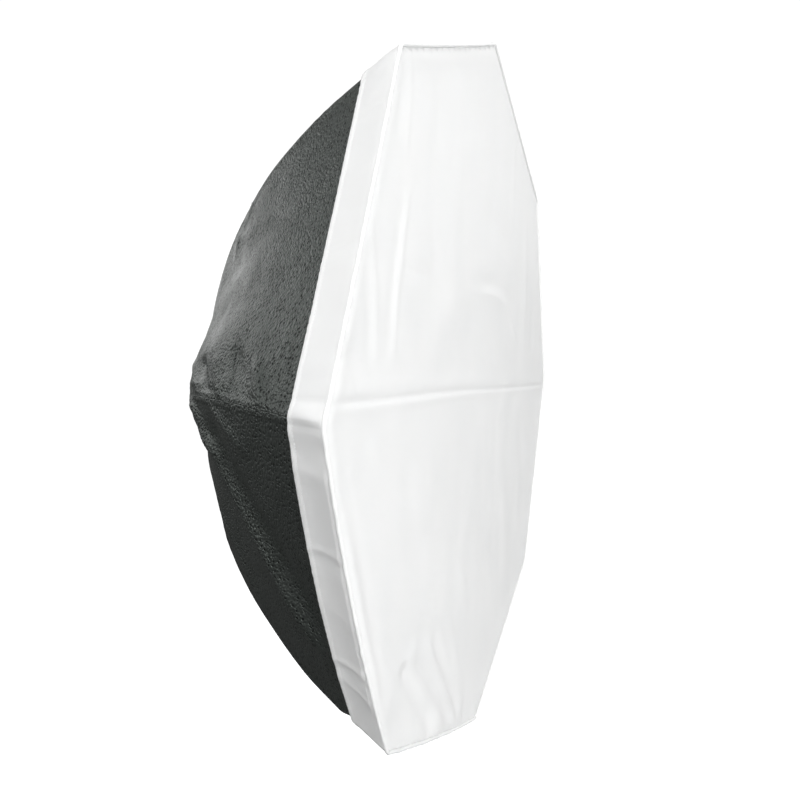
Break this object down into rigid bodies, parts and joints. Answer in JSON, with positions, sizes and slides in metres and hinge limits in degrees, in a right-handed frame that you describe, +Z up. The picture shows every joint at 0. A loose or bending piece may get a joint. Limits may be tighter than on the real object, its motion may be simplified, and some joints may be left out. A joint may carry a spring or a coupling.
{
  "type": "studio softbox",
  "caption": "Octagonal studio softbox: dark cloth shell on sprung rods, white front diffuser and inner baffle, on a turning speed ring with lock screws and bayonet lugs.",
  "frame": {"origin": "centre of the mount face, on the axis of the speed ring, where the insert meets the lamp", "axes": "+Y backwards out of the mount face towards the lamp, the front cloth facing -Y; +Z up, through a corner of the octagon"},
  "size_m": [0.95, 0.439, 0.95],
  "materials": {
    "machined_aluminium": "turned, satin",
    "lug_steel": "nickel plated",
    "ring_casting": "black powder coat",
    "retainer_plate": "black anodised",
    "screw_steel": "zinc plated",
    "pad_brass": "machined",
    "knob_plastic": "moulded, fine grain",
    "rod_steel": "drawn spring steel",
    "ferrule_brass": "machined",
    "tip_rubber": "moulded",
    "webbing_dark": "nylon webbing",
    "shell_cloth": "embossed coated nylon, silver lining inside",
    "seam_tape_grey": "silver-coated tape",
    "binding_black": "grosgrain binding",
    "loop_black": "loop pile",
    "hook_white": "hook tape",
    "diffuser_white": "matt translucent cloth",
    "piping_white": "covered piping",
    "baffle_white": "matt translucent cloth",
    "webbing_white": "polyester tape",
    "snap_nickel": "nickel plated"
  },
  "bodies": {
    "mount": {"mount_insert": "machined_aluminium", "bayonet_lugs": "lug_steel"},
    "softbox": {"speedring": "ring_casting", "retaining_ring": "retainer_plate", "retaining_screws": "screw_steel", "rod_1": "rod_steel", "rod_2": "rod_steel", "rod_3": "rod_steel", "rod_4": "rod_steel", "rod_5": "rod_steel", "rod_6": "rod_steel", "rod_7": "rod_steel", "rod_8": "rod_steel", "rod_ferrules": "ferrule_brass", "rod_tips": "tip_rubber", "tip_pockets": "webbing_dark", "shell_panel_1": "shell_cloth", "shell_panel_2": "shell_cloth", "shell_panel_3": "shell_cloth", "shell_panel_4": "shell_cloth", "shell_panel_5": "shell_cloth", "shell_panel_6": "shell_cloth", "shell_panel_7": "shell_cloth", "shell_panel_8": "shell_cloth", "seam_tapes": "seam_tape_grey", "neck_binding": "binding_black", "loop_tape": "loop_black", "hook_tape": "hook_white", "diffuser_skirt": "diffuser_white", "diffuser_piping": "piping_white", "diffuser_face": "diffuser_white", "inner_baffle": "baffle_white", "baffle_border": "webbing_white", "baffle_straps": "webbing_white", "seam_tabs": "webbing_dark", "snap_caps": "snap_nickel", "snap_studs": "snap_nickel"},
    "lock_pad_1": {"lock_pad_1": "pad_brass"},
    "lock_screw_1": {"lock_shank_1": "screw_steel", "lock_knob_1": "knob_plastic"},
    "lock_pad_2": {"lock_pad_2": "pad_brass"},
    "lock_screw_2": {"lock_shank_2": "screw_steel", "lock_knob_2": "knob_plastic"}
  },
  "joints": [
    {"name": "ring_turn", "type": "hinge", "parent": "mount", "child": "softbox", "pos_m": [0, 0, 0], "axis": [0, 1, 0], "continuous": true},
    {"name": "lock_slide_1", "type": "slide", "parent": "softbox", "child": "lock_pad_1", "axis": [0.3827, 0, 0.9239], "range_m": [0, 0.00301]},
    {"name": "lock_turn_1", "type": "hinge", "parent": "lock_pad_1", "child": "lock_screw_1", "pos_m": [0.03827, -0.012, 0.09239], "axis": [0.3827, 0, 0.9239], "range_deg": [0, 1080]},
    {"name": "lock_slide_2", "type": "slide", "parent": "softbox", "child": "lock_pad_2", "axis": [-0.3827, 0, -0.9239], "range_m": [0, 0.00301]},
    {"name": "lock_turn_2", "type": "hinge", "parent": "lock_pad_2", "child": "lock_screw_2", "pos_m": [-0.03827, -0.012, -0.09239], "axis": [-0.3827, 0, -0.9239], "range_deg": [0, 1080]}
  ],
  "couplings": [
    {"joint": "lock_slide_1", "follows": "lock_turn_1", "m_per_rad": 0.00015915},
    {"joint": "lock_slide_2", "follows": "lock_turn_2", "m_per_rad": 0.00015915}
  ]
}
